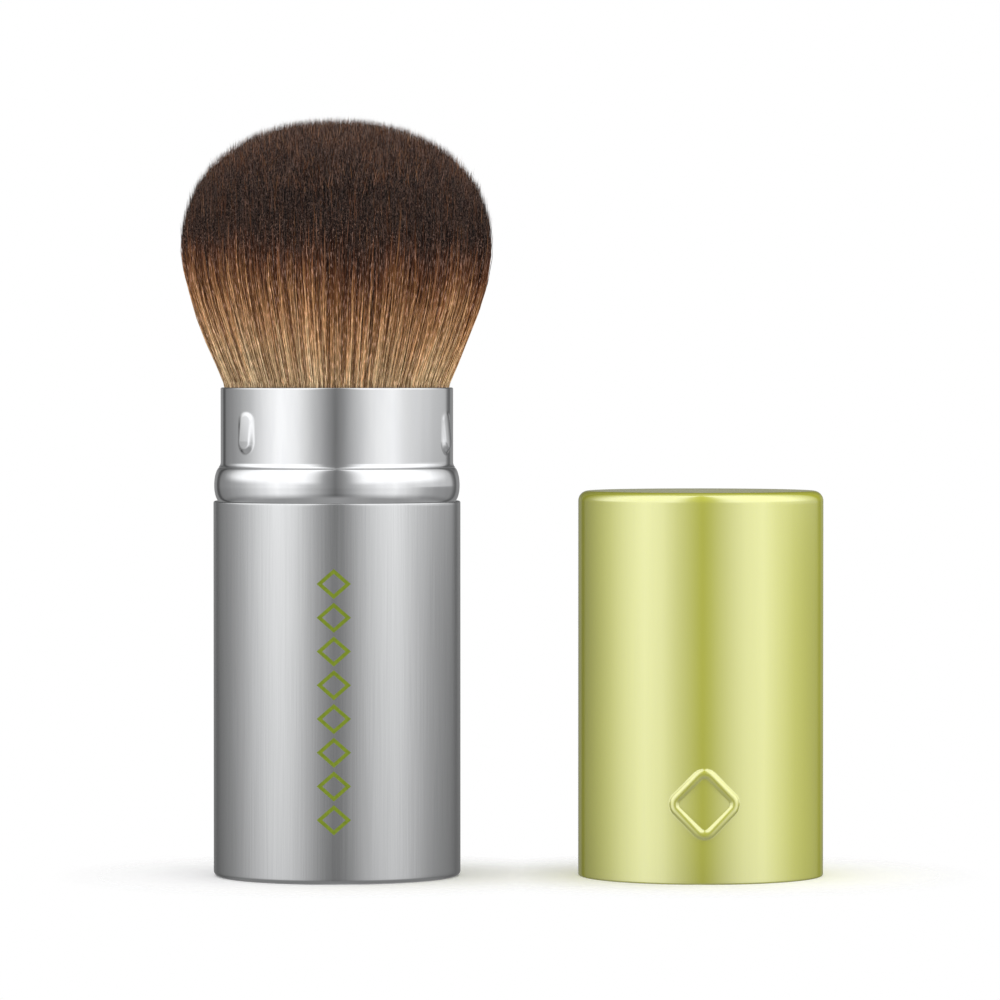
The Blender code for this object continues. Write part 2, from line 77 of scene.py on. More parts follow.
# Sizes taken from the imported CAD
barrel_low, barrel_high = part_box("barrel_shell")
collar_low, collar_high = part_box("collar_sleeve")
cap_low, cap_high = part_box("cap_shell")
tuft_low, tuft_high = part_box("bristles")

BARREL_RADIUS = (barrel_high.x - barrel_low.x) / 2
BARREL_TOP = barrel_high.z
BEAD_RADIUS = (collar_high.x - collar_low.x) / 2
COLLAR_FOOT = collar_low.z
COLLAR_RIM = collar_high.z
CAP_RADIUS = (cap_high.x - cap_low.x) / 2
CAP_AXIS_X = (cap_high.x + cap_low.x) / 2
CAP_TOP = cap_high.z
TUFT_TOP = tuft_high.z
TUFT_ROOT = tuft_low.z

# Drawn barrel
BARREL_WALL = 0.5 * MM
BARREL_CORNER = 0.7 * MM

# Rolled collar
COLLAR_WALL = 0.4 * MM
BEAD_PROUD = 0.9 * MM
BEAD_MIDDLE_ABOVE_BARREL = 2.1 * MM
BEAD_LOWER_HEIGHT = 2.3 * MM
BEAD_UPPER_HEIGHT = 2.6 * MM
NECK_RADIUS = BEAD_RADIUS - BEAD_PROUD
BEAD_MIDDLE = BARREL_TOP + BEAD_MIDDLE_ABOVE_BARREL
BEAD_TOP_ANGLE = 73.0
FLARE_WIDTH = 0.4 * MM
FLARE_HEIGHT = 0.75 * MM
FLARE_ABOVE_BEAD = 0.7 * MM
FLARE_TOP = BEAD_MIDDLE + BEAD_UPPER_HEIGHT + FLARE_ABOVE_BEAD
FLARE_END_ANGLE = 250.0
CREASE_DEPTH = 0.09 * MM
NECK_ROWS = 84
NECK_INNER_ROWS = 48

# Pressed catches on the collar's neck
CATCH_TURNS = np.radians([-49.3, 70.7, 190.7])
CATCH_HALF_WIDTH = 1.85 * MM
CATCH_HALF_HEIGHT = 3.1 * MM
CATCH_PROUD = 0.45 * MM
CATCH_HEIGHT = COLLAR_RIM - 6.1 * MM
# Places along a catch run from -1 at its foot to 1 at its top
CATCH_PEAK = -0.42
CATCH_TOP_ROUND = 0.5
CATCH_SWELL = 0.2
CATCH_STEEPNESS = 1.9
# Columns are dense over a catch and a little past it
CATCH_HALF_ANGLE = 1.2 * CATCH_HALF_WIDTH / NECK_RADIUS
CATCH_COLUMNS = 44

# Drawn cap with its raised lozenge
CAP_WALL = 0.5 * MM
CAP_CORNER = 1.4 * MM
LOZENGE_HALF_SPAN = 4.75 * MM
LOZENGE_HEIGHT = 10.9 * MM
LOZENGE_CORNER = 1.3 * MM
RIDGE_HALF_WIDTH = 0.6 * MM
RIDGE_PROUD = 0.42 * MM
RIDGE_ROWS = 100
RIDGE_COLUMNS = 100

# Printed row of lozenges on the barrel's front
PRINT_COUNT = 8
PRINT_LOW = 6.5 * MM
PRINT_HIGH = 43.0 * MM
PRINT_HALF_WIDTH = 1.95 * MM
PRINT_GAP = 1.15 * MM
PRINT_STROKE = 0.50 * MM
PRINT_SIDE_STEPS = 10
INK_PROUD = 0.02 * MM
INK_SUNK = 0.03 * MM

# Tuft of hair
ROOT_RADIUS = 14.2 * MM
RIM_HAIR_RADIUS = 15.25 * MM
TUFT_RADIUS = 21.15 * MM
WIDEST_HEIGHT = 87.5 * MM
RIM_LEAN = 0.43
DOME_RISE = TUFT_TOP - WIDEST_HEIGHT
DOME_POWER = 2.2
WEDGE_COUNT = 16
WEDGE_ANGLE = FULL_TURN / WEDGE_COUNT

# Closed core under the hairs
CORE_SHARE = 0.90
CORE_INNERMOST_SHARE = 0.05
CORE_DEPTH = 2.2 * MM
CORE_COLUMNS = 9
CORE_FOOT_ROWS = 4
CORE_SIDE_ROWS = 16
CORE_TOP_ROWS = 14

# Number of hairs, the shares of the radius that they fill, and the points along each
LONG_COUNT = 12500
SHORT_COUNT = 49000
STRAY_COUNT = 4000
LONG_SHARES = (CORE_SHARE, 1.0)
SHORT_SHARES = (0.0, 0.92)
STRAY_SHARES = (0.0, 0.90)
LONG_RINGS = 10
SHORT_RINGS = 4
STRAY_RINGS = 5
SHORT_LENGTH = 7.5 * MM

# Thickness of a hair, about twice a real one's, because real ones are far more in number
STRAND_RADIUS = 0.077 * MM
STRAND_RADIUS_SCATTER = 0.25
STRAND_RADIUS_LIMITS = (-0.5, 0.6)
TAPER_LENGTH = 10.0 * MM
TIP_RADIUS_SHARE = 0.12

# Where tips end: lowest and highest, from the dome
TIP_REACH = (-2.1 * MM, 0.5 * MM)
STRAY_REACH = (-1.3 * MM, 0.5 * MM)

# Lean of a hair's tip, outwards and sideways, and its waves
SPLAY = (0.24 * MM, 0.75 * MM)
STRAY_SPLAY = (0.42 * MM, 1.0 * MM)
WAVE = 0.12 * MM
WAVE_LENGTH = 12.0 * MM

# Clumps that the hairs are drawn to, more and more from inside the collar upwards
CLUMP_COUNT = 420
CLUMP_MIDDLES = (0.2, 0.8)
CLUMP_PULL = 0.25
CLUMP_START = COLLAR_RIM - 6 * MM
CLUMP_RISE = 20 * MM

# Tone of a hair, which is its u on the map: the core's tones lie below the hairs' and give a darker colour,
# painted shade for the depth under the hairs
CORE_TONE = 0.10
CORE_TONES = (0.01, CORE_TONE - 0.02)
HAIR_TONES = (CORE_TONE + 0.04, 0.98)
TONE_STEP = 0.02
TONE_WIDTH = 0.012
CLUMP_TONE_SHARE = 0.08
TONE_SPREAD = 0.8

# Depth of dye, which is the v on the map, as a share of the tuft's height
FADED_SHARE = 0.14
STRAY_FADED_SHARE = 0.8
FADED_DYE = (0.50, 0.66)
STRAY_DYE = (0.48, 0.68)
DARKEST_DYE = 0.86
DYE_SCATTER = 2.1 * MM
DYE_RISE_AT_SIDES = 0.8 * MM
# How far the dark dye's edge dips round the tuft: size, number in a turn and phase of each wave
DYE_DIPS = [(1.8 * MM, 1, 0.0), (0.9 * MM, 1, math.pi / 2), (0.7 * MM, 5, 1.0), (0.6 * MM, 11, 0.0)]
HAIR_SEED = 11

# Painted glints and painted shade streaks on the hairs, as features over the whole map
PAINTED_GLINTS_ACROSS = 300.0
PAINTED_GLINTS_ALONG = 45.0

# Fineness of the turned surfaces
TURNED_COLUMNS = 288
POLE_RING = 1.0 * MM

UV_MAP = "OFBake"
WHITE = (1.0, 1.0, 1.0, 1.0)
# Middle range of one noise pattern, and of two added together
ONE_NOISE = (0.3, 0.7)
TWO_NOISES = (0.7, 1.3)


def to_linear(hex_colour):
    """Turns an sRGB hex colour into the linear red, green, blue and alpha that shaders take."""
    levels = np.array([int(hex_colour[i : i + 2], 16) for i in (0, 2, 4)]) / 255
    linear = np.where(levels <= 0.04045, levels / 12.92, ((levels + 0.055) / 1.055) ** 2.4)
    return (*linear.tolist(), 1.0)


def add_node(tree, kind, inputs=None, stops=None, **settings):
    """Adds a node. Settings are its properties, and stops its colours with their positions.

    Inputs go by socket, each a value or another node's output.
    """
    made = tree.nodes.new(kind)
    for name, value in settings.items():
        setattr(made, name, value)
    for key, value in (inputs or {}).items():
        if isinstance(value, bpy.types.NodeSocket):
            tree.links.new(value, made.inputs[key])
        else:
            made.inputs[key].default_value = value
    for index, (position, colour) in enumerate(stops or ()):
        elements = made.color_ramp.elements
        element = elements[index] if index < 2 else elements.new(position)
        element.position = position
        element.color = colour
    return made


def combined(tree, operation, *values):
    """One step of arithmetic on values or other nodes' outputs."""
    inputs = dict(enumerate(values))
    return add_node(tree, "ShaderNodeMath", inputs, operation=operation).outputs["Value"]


def blended(tree, kind, share, first, second):
    """Blend of two colours, each a value or another node's output."""
    inputs = {"Factor": share, 6: first, 7: second}
    return add_node(tree, "ShaderNodeMix", inputs, data_type="RGBA", blend_type=kind).outputs[2]


def ranged(tree, value, low, high, span=ONE_NOISE, easing="LINEAR"):
    """Carries a span of a value over to the values from low to high."""
    inputs = {"Value": value, "From Min": span[0], "From Max": span[1], "To Min": low, "To Max": high}
    made = add_node(tree, "ShaderNodeMapRange", inputs, interpolation_type=easing)
    return made.outputs["Result"]


def ramp(tree, value, stops):
    """Colour that runs through stops of a position and an sRGB hex as a value rises."""
    stops = [(position, to_linear(colour)) for position, colour in stops]
    return add_node(tree, "ShaderNodeValToRGB", {"Fac": value}, stops=stops).outputs["Color"]


def two_tone(tree, value, dark, light):
    """Colour that runs from dark to light, both sRGB hex, as a noise pattern rises."""
    return ramp(tree, value, zip(ONE_NOISE, (dark, light)))


def noise(tree, place, scale, detail=2.0):
    """Noise over a place that is scaled along each axis."""
    mapped = add_node(tree, "ShaderNodeMapping", {"Vector": place, "Scale": scale})
    inputs = {"Vector": mapped.outputs["Vector"], "Scale": 1.0, "Detail": detail}
    return add_node(tree, "ShaderNodeTexNoise", inputs).outputs["Fac"]


def noise_at(tree, features, detail=2.0):
    """Noise on Object coordinates whose features are this many metres long in x, y and z."""
    place = add_node(tree, "ShaderNodeTexCoord").outputs["Object"]
    return noise(tree, place, tuple(1 / size for size in features), detail)


def new_material(name):
    """Makes an empty material and returns it with its node tree and its shader."""
    material = bpy.data.materials.new(name)
    material.use_nodes = True
    tree = material.node_tree
    tree.nodes.clear()
    shader = add_node(tree, "ShaderNodeBsdfPrincipled")
    add_node(tree, "ShaderNodeOutputMaterial", {"Surface": shader.outputs["BSDF"]})
    return material, tree, shader


def finish_shader(tree, shader, colour, roughness, bump=None, depth=0.0, **sockets):
    """Sets a shader's colour and roughness, links or values, its bump and its other sockets by name."""
    for key, value in {"Base Color": colour, "Roughness": roughness}.items():
        if isinstance(value, bpy.types.NodeSocket):
            tree.links.new(value, shader.inputs[key])
        else:
            shader.inputs[key].default_value = value
    for key, value in sockets.items():
        shader.inputs[key.replace("_", " ")].default_value = value
    if bump is not None:
        inputs = {"Height": bump, "Distance": depth, "Strength": 1.0}
        normal = add_node(tree, "ShaderNodeBump", inputs).outputs["Normal"]
        tree.links.new(normal, shader.inputs["Normal"])


def make_even_material(name, features, dark, light, smoothest, roughest, depth, **sockets):
    """Material whose colour, roughness and fine relief all follow one noise pattern."""
    material, tree, shader = new_material(name)
    pattern = noise_at(tree, features)
    colour = two_tone(tree, pattern, dark, light)
    roughness = ranged(tree, pattern, smoothest, roughest)
    finish_shader(tree, shader, colour, roughness, pattern, depth, **sockets)
    return material


def make_brushed_aluminium():
    """Drawn aluminium brushed along its length: upright grain that spreads highlights sideways."""
    material, tree, shader = new_material("brushed_aluminium")
    # Real grain is about 0.05 mm wide; it is drawn 0.13 mm wide, or it wouldn't show at this size.
    grain = noise_at(tree, (0.13 * MM, 0.13 * MM, 16 * MM))
    # Handling leaves broad cloudy patches that are a little smoother.
    cloud = noise_at(tree, (14 * MM, 14 * MM, 30 * MM), detail=1.0)
    mixed = ranged(tree, combined(tree, "ADD", grain, cloud), low=0.17, high=0.21, span=TWO_NOISES)
    # Towards the foot the metal is made rougher.
    place = add_node(tree, "ShaderNodeTexCoord").outputs["Object"]
    height = add_node(tree, "ShaderNodeSeparateXYZ", {"Vector": place}).outputs["Z"]
    duller = ranged(tree, height, low=0.06, high=0.0, span=(0.0, BARREL_TOP))
    # Painted shade: the colour is darkened towards the foot, to four fifths at the base.
    shade = ranged(tree, height, low=0.80, high=1.0, span=(0.0, BARREL_TOP))
    finish_shader(
        tree,
        shader,
        blended(tree, "MULTIPLY", 1.0, two_tone(tree, grain, "D2D3D4", "DADBDC"), shade),
        combined(tree, "ADD", mixed, duller),
        bump=grain,
        depth=0.0003 * MM,
        Metallic=1.0,
        Anisotropic=0.5,
    )
    return material


def make_polished_aluminium():
    """Aluminium drawn and then buffed: mirror-like, with faint draw marks up the wall.

    Buffing leaves marks far finer than a pixel, so a broader haze of 1.5 mm stands for them.
    """
    return make_even_material(
        "polished_aluminium",
        (1.5 * MM, 1.5 * MM, 9 * MM),
        dark="E3E4E6",
        light="E9EAEB",
        smoothest=0.07,
        roughest=0.12,
        depth=0.0015 * MM,
        Metallic=1.0,
    )


def make_lime_anodised_aluminium():
    """Satin aluminium dyed lime in its oxide skin: coloured metal under a clear hard glossy layer.

    The clear layer's index is far above oxide's 1.7, because that gives its white reflections their
    photographed strength. The dark edge tint is the dyed skin, which takes more of the light that
    strikes it at a low angle.
    """
    material, tree, shader = new_material("lime_anodised_aluminium")
    # Dye takes slightly unevenly in patches of about a centimetre, over upright draw marks.
    patches = noise_at(tree, (11 * MM, 11 * MM, 25 * MM), detail=1.0)
    marks = noise_at(tree, (0.3 * MM, 0.3 * MM, 18 * MM))
    mixed = combined(tree, "ADD", patches, marks)
    finish_shader(
        tree,
        shader,
        two_tone(tree, patches, "F2F426", "F6F82A"),
        ranged(tree, mixed, low=0.60, high=0.67, span=TWO_NOISES),
        bump=marks,
        depth=0.0006 * MM,
        Metallic=1.0,
        Specular_Tint=(0.1, 0.1, 0.1, 1.0),
        Coat_Weight=1.0,
        Coat_Roughness=0.10,
        Coat_IOR=4.0,
    )
    return material


def make_pad_printed_ink():
    """Olive ink pad-printed in a thin even film: matt beside the metal, with pinholes too small to see."""
    material, tree, shader = new_material("pad_printed_ink")
    film = noise_at(tree, (0.35 * MM, 0.35 * MM, 0.35 * MM))
    colour = two_tone(tree, film, "6E8012", "7A8C1A")
    roughness = ranged(tree, film, low=0.45, high=0.6)
    finish_shader(tree, shader, colour, roughness, Specular_IOR_Level=0.3)
    return material


def make_synthetic_fibre():
    """Dyed synthetic fibre: tan at the root and dark brown above, with fine tips painted paler as painted
    light.

    The map's u is a hair's own tone, and its v is the height in the dye bath, so hairs that share a
    place on the map share a colour. The gloss is low, because painted glints on the map stand for most of
    it.
    """
    material, tree, shader = new_material("synthetic_fibre")
    place = add_node(tree, "ShaderNodeUVMap", uv_map=UV_MAP).outputs["UV"]
    split = add_node(tree, "ShaderNodeSeparateXYZ", {"Vector": place}).outputs
    # Dye from tan at the root to dark brown; the last stop's paler brown is painted light in the hair tips.
    dye = ramp(
        tree,
        split["Y"],
        [
            (0.20, "FFE6BA"),
            (0.30, "FFDCAA"),
            (0.40, "FCC892"),
            (0.48, "CE9A67"),
            (0.55, "A46E4B"),
            (0.62, "653F2D"),
            (0.70, "3C271D"),
            (0.80, "211511"),
            (DARKEST_DYE, "231816"),
            (1.0, "7E6B65"),
        ],
    )
    # The core's tone, below CORE_TONE, is darker: painted shade for the depth under the hairs.
    tone = ramp(
        tree,
        split["X"],
        [
            (CORE_TONE, "665245"),
            (CORE_TONE + TONE_STEP, "665447"),
            (0.45, "B0A092"),
            (0.75, "EAE4DE"),
            (0.95, "F6F2EE"),
        ],
    )
    toned = blended(tree, "MULTIPLY", 1.0, dye, tone)
    # Painted light for a fibre that catches the light over about 0.5 mm where it bends: one noise on the
    # map gives painted shade streaks from its low part and painted glints from its high part.
    glint_and_streak_noise = noise(tree, place, (PAINTED_GLINTS_ACROSS, PAINTED_GLINTS_ALONG, 1.0), detail=1.0)
    painted_streak_shade = ranged(tree, glint_and_streak_noise, low=0.58, high=1.0, span=(0.37, 0.54))
    streak_shaded = blended(tree, "MULTIPLY", 1.0, toned, painted_streak_shade)
    # Painted glints are only for single hairs, which all have more tone than the core under them.
    on_hair = ranged(tree, split["X"], low=0.0, high=1.0, span=(CORE_TONE, CORE_TONE + TONE_STEP))
    painted_glints = combined(tree, "MULTIPLY", ranged(tree, glint_and_streak_noise, 0.0, 1.0, span=(0.58, 0.63)), on_hair)
    # The pale colour added here is the painted glint.
    finish_shader(
        tree,
        shader,
        blended(tree, "ADD", painted_glints, streak_shaded, to_linear("A6887A")),
        ranged(tree, split["X"], low=0.42, high=0.3, span=(0.0, 1.0)),
        Specular_IOR_Level=0.06,
    )
    return material


def make_moulded_plastic(name, dark, light, smoothest):
    """Injection moulded plastic from a spark-eroded tool: even colour with a very fine pitted sheen.

    Tool texture is about 0.05 mm; it is drawn at 0.25 mm so that it shows.
    """
    features = (0.25 * MM, 0.25 * MM, 0.25 * MM)
    return make_even_material(name, features, dark, light, smoothest, smoothest + 0.1, depth=0.006 * MM)


def make_zinc_plated_steel():
    """Turned steel with bright zinc: fine tool rings and a faintly mottled grey."""
    return make_even_material(
        "zinc_plated_steel",
        (3 * MM, 3 * MM, 0.2 * MM),
        dark="9A9EA2",
        light="A6AAAE",
        smoothest=0.28,
        roughest=0.4,
        depth=0.004 * MM,
        Metallic=1.0,
    )


def make_silicone_rubber():
    """Moulded silicone: near black and matt, with a dusty bloom."""
    return make_even_material(
        "silicone_rubber",
        (0.8 * MM, 0.8 * MM, 0.8 * MM),
        dark="262627",
        light="303031",
        smoothest=0.6,
        roughest=0.75,
        depth=0.01 * MM,
    )


def make_cast_epoxy():
    """Epoxy poured round the hair roots: amber and glossy, cloudy where it soaked in."""
    return make_even_material(
        "cast_epoxy",
        (2.5 * MM, 2.5 * MM, 2.5 * MM),
        dark="BD9A59",
        light="CFAF72",
        smoothest=0.12,
        roughest=0.2,
        depth=0.01 * MM,
    )


def new_mesh(name, points, faces):
    """Makes a mesh. Faces are arrays of point numbers, one array for each number of corners."""
    corners = np.concatenate([group.ravel() for group in faces])
    sizes = np.concatenate([np.full(len(group), group.shape[1]) for group in faces])
    mesh = bpy.data.meshes.new(name)
    mesh.vertices.add(len(points))
    mesh.vertices.foreach_set("co", points.astype(np.float32).ravel())
    mesh.loops.add(len(corners))
    mesh.loops.foreach_set("vertex_index", corners.astype(np.int32))
    mesh.polygons.add(len(sizes))
    mesh.polygons.foreach_set("loop_start", (np.cumsum(sizes) - sizes).astype(np.int32))
    mesh.update(calc_edges=True)
    return mesh


def new_object(name, data):
    """Puts a mesh or a camera in the scene, at the origin and unturned."""
    made = bpy.data.objects.new(name, data)
    bpy.context.scene.collection.objects.link(made)
    return made


def make_piece(name, points, faces, body, material, nodes=(), smooth=True, maps=None):
    """Puts points and faces into a mesh object that rides on a body and stands for CAD nodes.

    Maps, where given, are arrays with a row for each face and two map places for each corner.
    """
    mesh = new_mesh(name, points, faces)
    mesh.polygons.foreach_set("use_smooth", np.full(len(mesh.polygons), smooth))
    if maps is not None:
        layer = mesh.uv_layers.new(name=UV_MAP)
        layer.data.foreach_set("uv", np.concatenate([m.ravel() for m in maps]).astype(np.float32))
    mesh.update()
    mesh.materials.append(material)
    piece = new_object(name, mesh)
    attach(piece, body)
    if nodes:
        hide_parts(*nodes)
    return piece


def grid_faces(rows, columns, rows_close=False, columns_close=True):
    """Four-cornered faces between the points of a grid, numbered row by row."""
    row, column = np.meshgrid(
        np.arange(rows if rows_close else rows - 1),
        np.arange(columns if columns_close else columns - 1),
        indexing="ij",
    )
    up = (row + 1) % rows
    across = (column + 1) % columns
    corners = [row * columns + column, row * columns + across, up * columns + across, up * columns + column]
    return np.stack(corners, axis=-1).reshape(-1, 4)


def smooth_step(share):
    """Share from 0 to 1 that starts and ends gently."""
    return share * share * (3 - 2 * share)


def even_line(start, end, steps):
    """Points from start up to but not including end, evenly spaced."""
    return np.linspace(start, end, steps, endpoint=False)


def straight(start, end, steps):
    """Points from start up to but not including end, closer together near both ends."""
    share = even_line(0, 1, steps)[:, None]
    return np.array(start) + (np.array(end) - np.array(start)) * smooth_step(share)


def bend(centre, reach, first, last, steps):
    """Points on an ellipse round centre from angle first up to but not including last, in degrees.

    Reach is the ellipse's two half widths, or the radius of a circle.
    """
    angle = np.radians(even_line(first, last, steps))
    return np.array(centre) + np.array(reach) * np.stack([np.cos(angle), np.sin(angle)], axis=-1)


def carried_round(profile, turns):
    """Carries a profile of radius and height round the upright axis: x is r sin t, y is -r cos t."""
    radius, height = profile[:, :1], profile[:, 1:]
    return np.stack([radius * np.sin(turns), -radius * np.cos(turns), height + 0 * turns], axis=-1)


def pushed_out(grid, relief, turns):
    """Moves each point of a turned grid away from the axis by its relief."""
    grid[..., 0] += relief * np.sin(turns)
    grid[..., 1] -= relief * np.cos(turns)
    return grid


def closed_cup(grid, first_pole, last_pole):
    """Points and faces of a turned grid whose first and last rows close on a point on the axis."""
    rows, columns = grid.shape[:2]
    points = np.concatenate([grid.reshape(-1, 3), [first_pole], [last_pole]])
    first_row = np.arange(columns)
    last_row = first_row + (rows - 1) * columns
    count = rows * columns
    first_fan = np.stack([np.full(columns, count), np.roll(first_row, -1), first_row], axis=-1)
    last_fan = np.stack([last_row, np.roll(last_row, -1), np.full(columns, count + 1)], axis=-1)
    return points, [grid_faces(rows, columns), np.concatenate([first_fan, last_fan])]


def even_turns(count):
    """Turns round the whole circle, evenly spaced."""
    return even_line(0, FULL_TURN, count)


def away_from(turns, centre):
    """Turns measured from a centre, from minus to plus half a turn."""
    return (turns - centre + math.pi) % FULL_TURN - math.pi


def turns_dense_at(centres, half_angle, dense_steps):
    """Turns round the whole circle with extra ones close together around each centre."""
    even = even_turns(TURNED_COLUMNS)
    for centre in centres:
        even = even[np.abs(away_from(even, centre)) > half_angle]
    near = np.concatenate([c + np.linspace(-half_angle, half_angle, dense_steps) for c in centres])
    return np.sort(np.concatenate([even, near % FULL_TURN]))


def make_barrel(material):
    """Drawn cup: one profile up the outside, over a round rim and down the inside, turned round the axis."""
    half_wall = BARREL_WALL / 2
    inner = BARREL_RADIUS - BARREL_WALL
    rim = BARREL_TOP - half_wall
    corner = (BARREL_RADIUS - BARREL_CORNER, BARREL_CORNER)
    profile = np.concatenate(
        [
            straight((POLE_RING, 0), (corner[0], 0), 10),
            bend(corner, BARREL_CORNER, -90, 0, 12),
            straight((BARREL_RADIUS, BARREL_CORNER), (BARREL_RADIUS, rim), 24),
            bend((BARREL_RADIUS - half_wall, rim), half_wall, 0, 180, 12),
            straight((inner, rim), (inner, BARREL_CORNER), 12),
            bend(corner, BARREL_CORNER - BARREL_WALL, 0, -90, 8),
            straight((corner[0], BARREL_WALL), (POLE_RING, BARREL_WALL), 8),
            [(POLE_RING, BARREL_WALL)],
        ]
    )
    grid = carried_round(profile, even_turns(TURNED_COLUMNS))
    points, faces = closed_cup(grid, (0, 0, 0), (0, 0, BARREL_WALL))
    return make_piece("barrel", points, faces, "handle", material, ["barrel_shell"])


def catch_relief(turns, heights):
    """How far the neck is pressed outwards: a pad that swells slowly from its top and ends round below.

    Between its round ends the distance from the middle line is the sideways one; past them it is that
    of an ellipse. The pad is a smooth step of that distance, lifted nearly in proportion from its top
    down to its peak.
    """
    up = (heights[:, None] - CATCH_HEIGHT) / CATCH_HALF_HEIGHT
    below = np.clip((CATCH_PEAK - up) / (1 + CATCH_PEAK), 0, 1)
    above = np.clip((up - CATCH_TOP_ROUND) / (1 - CATCH_TOP_ROUND), 0, 1)
    fall = np.clip((1 - up) / (1 - CATCH_PEAK), 0, 1)
    lift = fall * (1 + CATCH_SWELL * (1 - fall))
    relief = np.zeros((len(heights), len(turns)))
    for centre in CATCH_TURNS:
        sideways = away_from(turns, centre) * NECK_RADIUS / CATCH_HALF_WIDTH
        edge = 1 - np.hypot(sideways, below + above)
        relief += CATCH_PROUD * lift * smooth_step(np.clip(CATCH_STEEPNESS * edge, 0, 1))
    return relief


def make_collar(material):
    """Rolled tube: one closed profile with bead, crease, flare and rim, turned, with pads pressed out."""
    half_wall = COLLAR_WALL / 2
    inner = NECK_RADIUS - COLLAR_WALL
    foot = COLLAR_FOOT + half_wall
    rim = COLLAR_RIM - half_wall
    middle = NECK_RADIUS - half_wall
    bead_foot = BEAD_MIDDLE - BEAD_LOWER_HEIGHT
    bead_head = BEAD_MIDDLE + BEAD_UPPER_HEIGHT
    lower_reach = (BEAD_PROUD, BEAD_LOWER_HEIGHT)
    upper_reach = (BEAD_PROUD, BEAD_UPPER_HEIGHT)
    bead = (NECK_RADIUS, BEAD_MIDDLE)
    inner_bead = (inner, BEAD_MIDDLE)
    flare = (NECK_RADIUS + FLARE_WIDTH, FLARE_TOP)
    upper_bead = bend(bead, upper_reach, 0, BEAD_TOP_ANGLE, 18)
    flare_arc = bend(flare, (FLARE_WIDTH, FLARE_HEIGHT), FLARE_END_ANGLE, 180, 14)
    crease = (upper_bead[-1] + flare_arc[0]) / 2 - (CREASE_DEPTH, 0)
    profile = np.concatenate(
        [
            bend((middle, foot), half_wall, -90, 0, 6),
            straight((NECK_RADIUS, foot), (NECK_RADIUS, bead_foot), 10),
            bend(bead, lower_reach, -90, 0, 14),
            upper_bead,
            straight(upper_bead[-1], crease, 4)[1:],
            straight(crease, flare_arc[0], 4),
            flare_arc,
            even_line((NECK_RADIUS, FLARE_TOP), (NECK_RADIUS, rim), NECK_ROWS),
            bend((middle, rim), half_wall, 0, 180, 10),
            even_line((inner, rim), (inner, FLARE_TOP), NECK_INNER_ROWS),
            straight((inner, FLARE_TOP), (inner, bead_head), 4),
            bend(inner_bead, upper_reach, 90, 0, 8),
            bend(inner_bead, lower_reach, 0, -90, 6),
            straight((inner, bead_foot), (inner, foot), 8),
            bend((middle, foot), half_wall, 180, 270, 6),
        ]
    )
    turns = turns_dense_at(CATCH_TURNS, CATCH_HALF_ANGLE, CATCH_COLUMNS)
    on_neck = (profile[:, 1] > FLARE_TOP) & (profile[:, 1] < rim)
    relief = catch_relief(turns, profile[:, 1]) * on_neck[:, None]
    points = pushed_out(carried_round(profile, turns), relief, turns).reshape(-1, 3)
    faces = [grid_faces(len(profile), len(turns), rows_close=True)]
    return make_piece("collar", points, faces, "collar", material, ["collar_sleeve"])


def lozenge_relief(across, up):
    """Height of a half-round ridge whose middle line is a square on its corner with rounded corners.

    The distance to the line is that of a rounded box turned by 45 degrees, and the ridge is a half
    ellipse over it.
    """
    side = np.abs(across + up) / math.sqrt(2)
    other = np.abs(across - up) / math.sqrt(2)
    # The rounded corner takes off a corner's reach, so that the span over two corners stays.
    half_side = (LOZENGE_HALF_SPAN - RIDGE_HALF_WIDTH - LOZENGE_CORNER) / math.sqrt(2)
    outside = np.hypot(np.maximum(side - half_side, 0), np.maximum(other - half_side, 0))
    inside = np.minimum(np.maximum(side, other) - half_side, 0)
    distance = outside + inside - LOZENGE_CORNER
    return RIDGE_PROUD * np.sqrt(np.clip(1 - (distance / RIDGE_HALF_WIDTH) ** 2, 0, 1))


def make_cap(material):
    """Drawn cup, mouth down, with a half-round lozenge ridge pressed out of its front."""
    half_wall = CAP_WALL / 2
    inner = CAP_RADIUS - CAP_WALL
    ceiling = CAP_TOP - CAP_WALL
    corner = (CAP_RADIUS - CAP_CORNER, CAP_TOP - CAP_CORNER)
    reach = LOZENGE_HALF_SPAN + RIDGE_HALF_WIDTH
    ridge_low = (CAP_RADIUS, LOZENGE_HEIGHT - reach)
    ridge_high = (CAP_RADIUS, LOZENGE_HEIGHT + reach)
    profile = np.concatenate(
        [
            straight((POLE_RING, ceiling), (corner[0], ceiling), 8),
            bend(corner, CAP_CORNER - CAP_WALL, 90, 0, 8),
            straight((inner, corner[1]), (inner, half_wall), 12),
            bend((CAP_RADIUS - half_wall, half_wall), half_wall, 180, 360, 12),
            straight((CAP_RADIUS, half_wall), ridge_low, 8),
            even_line(ridge_low, ridge_high, RIDGE_ROWS),
            straight(ridge_high, (CAP_RADIUS, corner[1]), 20),
            bend(corner, CAP_CORNER, 0, 90, 16),
            straight((corner[0], CAP_TOP), (POLE_RING, CAP_TOP), 10),
            [(POLE_RING, CAP_TOP)],
        ]
    )
    turns = turns_dense_at([0.0], reach / CAP_RADIUS, RIDGE_COLUMNS)
    on_outside = profile[:, 0] > CAP_RADIUS - half_wall / 2
    relief = lozenge_relief(away_from(turns, 0.0) * CAP_RADIUS, profile[:, 1:] - LOZENGE_HEIGHT)
    grid = pushed_out(carried_round(profile, turns), relief * on_outside[:, None], turns)
    grid[..., 0] += CAP_AXIS_X
    points, faces = closed_cup(grid, (CAP_AXIS_X, 0, ceiling), (CAP_AXIS_X, 0, CAP_TOP))
    return make_piece("cap", points, faces, "cap", material, ["cap_shell"])


